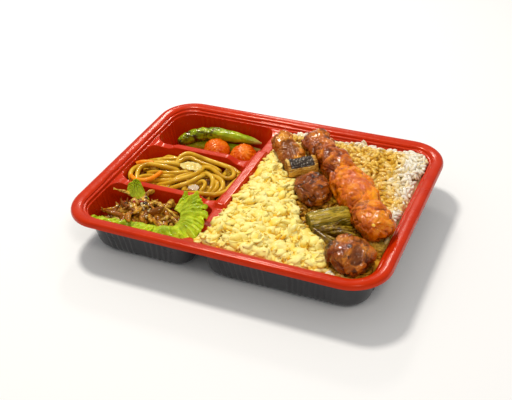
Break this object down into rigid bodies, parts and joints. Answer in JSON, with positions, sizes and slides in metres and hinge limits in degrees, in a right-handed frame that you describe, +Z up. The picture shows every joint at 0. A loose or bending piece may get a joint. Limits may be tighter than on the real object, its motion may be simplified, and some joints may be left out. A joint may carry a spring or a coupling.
{
  "type": "bento box meal",
  "caption": "Rectangular takeaway tray with small side pockets and a large one, filled with grilled chicken on rice, shredded egg, noodles, vegetables and fried fish.",
  "frame": {"origin": "centre of the tray's footprint, on the surface it stands on", "axes": "+X along the long side towards the large pocket, +Y towards the back, +Z up"},
  "size_m": [0.27, 0.207, 0.0559],
  "materials": {
    "tray_red": "glossy red sheet, black underneath",
    "pepper": "oiled green skin, charred in places",
    "tomato": "glossy blistered red skin",
    "noodles": "oiled brown noodles",
    "carrot": "moist orange",
    "cabbage": "moist pale yellow green",
    "lettuce": "waxy bright green leaf",
    "fried_fish": "glazed crisp brown",
    "rice": "soft steamed grains, stained by sauce",
    "egg": "soft moist yellow shreds",
    "brown_chicken": "sticky brown glaze with charred spots",
    "leek": "soft glazed leek with charred skin",
    "orange_chicken": "sticky orange glaze"
  },
  "bodies": {
    "root": {"tray": "tray_red", "pepper_back": "pepper", "pepper_front": "pepper", "tomato_left": "tomato", "tomato_right": "tomato", "noodles": "noodles", "carrot_front": "carrot", "carrot_back": "carrot", "cabbage_piece": "cabbage", "cabbage_scrap": "cabbage", "lettuce_leaf": "lettuce", "lettuce_tip": "lettuce", "fish_heap": "fried_fish", "rice": "rice", "egg": "egg", "chicken_1": "brown_chicken", "chicken_2": "brown_chicken", "chicken_3": "brown_chicken", "leek_1": "leek", "leek_2": "leek", "leek_strands": "leek", "orange_chicken_1": "orange_chicken", "orange_chicken_2": "orange_chicken", "orange_chicken_3": "orange_chicken", "orange_chicken_4": "orange_chicken"}
  },
  "joints": []
}
